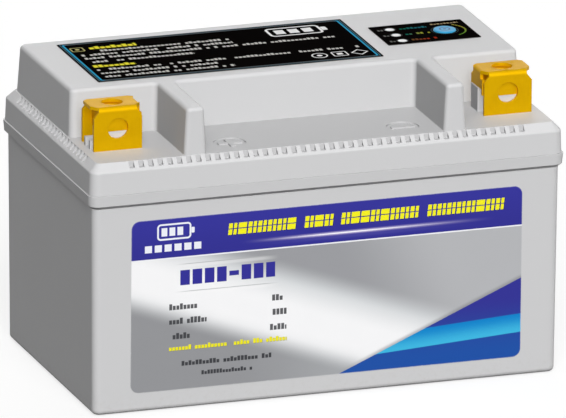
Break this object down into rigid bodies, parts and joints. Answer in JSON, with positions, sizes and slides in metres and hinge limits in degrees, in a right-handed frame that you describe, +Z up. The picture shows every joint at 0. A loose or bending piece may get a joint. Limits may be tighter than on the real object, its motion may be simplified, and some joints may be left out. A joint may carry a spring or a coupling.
{
  "type": "motorcycle battery",
  "caption": "Sealed rectangular powersports battery: drafted case, raised ribbed lid, folded sheet-metal terminals, printed labels, light windows and a press-to-test button.",
  "frame": {"origin": "centre of the case footprint, on the base it rests on", "axes": "+Z up; X along the case's length; the terminals face -Y; the positive terminal is at -X"},
  "size_m": [0.15, 0.087, 0.0935],
  "materials": {
    "case_plastic": "satin",
    "adhesive": "satin",
    "label_front": "gloss",
    "label_black": "gloss",
    "label_black_small": "gloss",
    "light_pipe": "gloss",
    "terminal_brass": "satin",
    "nut_brass": "satin",
    "seal_rubber": "matte",
    "cell_can": "satin",
    "holder_plastic": "matte",
    "nickel": "satin",
    "insulator_sheet": "matte",
    "foam": "matte",
    "circuit_board": "satin",
    "chip_black": "matte",
    "connector_plastic": "satin",
    "screw_steel": "satin",
    "wire_white": "satin",
    "wire_black": "satin",
    "wire_red": "satin",
    "tinned_copper": "satin",
    "led_lens": "gloss",
    "button_blue": "gloss"
  },
  "bodies": {
    "battery": {"container": "case_plastic", "lid": "case_plastic", "lid_seal": "adhesive", "front_label": "label_front", "top_label": "label_black", "indicator_label": "label_black_small", "light_pipes": "light_pipe", "terminal_positive": "terminal_brass", "terminal_negative": "terminal_brass", "terminal_nut_positive": "nut_brass", "terminal_nut_negative": "nut_brass", "terminal_seal_positive": "seal_rubber", "terminal_seal_negative": "seal_rubber", "cell_1": "cell_can", "cell_2": "cell_can", "cell_3": "cell_can", "cell_4": "cell_can", "cell_5": "cell_can", "cell_6": "cell_can", "cell_7": "cell_can", "cell_8": "cell_can", "cell_holder_lower": "holder_plastic", "cell_holder_upper": "holder_plastic", "series_strip_upper": "nickel", "series_strip_lower_1": "nickel", "series_strip_lower_2": "nickel", "main_strip_positive": "nickel", "main_strip_negative": "nickel", "strip_insulator": "insulator_sheet", "base_pad": "foam", "foam_left": "foam", "foam_right": "foam", "foam_front": "foam", "foam_rear": "foam", "bms_board": "circuit_board", "bms_mosfets": "chip_black", "bms_balance_resistors": "chip_black", "bms_controller": "chip_black", "bms_connector": "connector_plastic", "bms_screws": "screw_steel", "balance_wires": "wire_white", "negative_lead": "wire_black", "positive_lead": "wire_red", "ring_lugs": "tinned_copper", "lead_screws": "screw_steel", "lead_nuts": "screw_steel", "indicator_board": "circuit_board", "indicator_leds": "led_lens", "test_switch_body": "chip_black", "indicator_screws": "screw_steel", "indicator_cable": "wire_white"},
    "button": {"test_button": "button_blue", "test_switch_plunger": "chip_black"}
  },
  "joints": [
    {"name": "test_button_press", "type": "slide", "parent": "battery", "child": "button", "axis": [0, 0, -1], "range_m": [0, 0.0004], "stiffness_N_per_m": 3000}
  ]
}
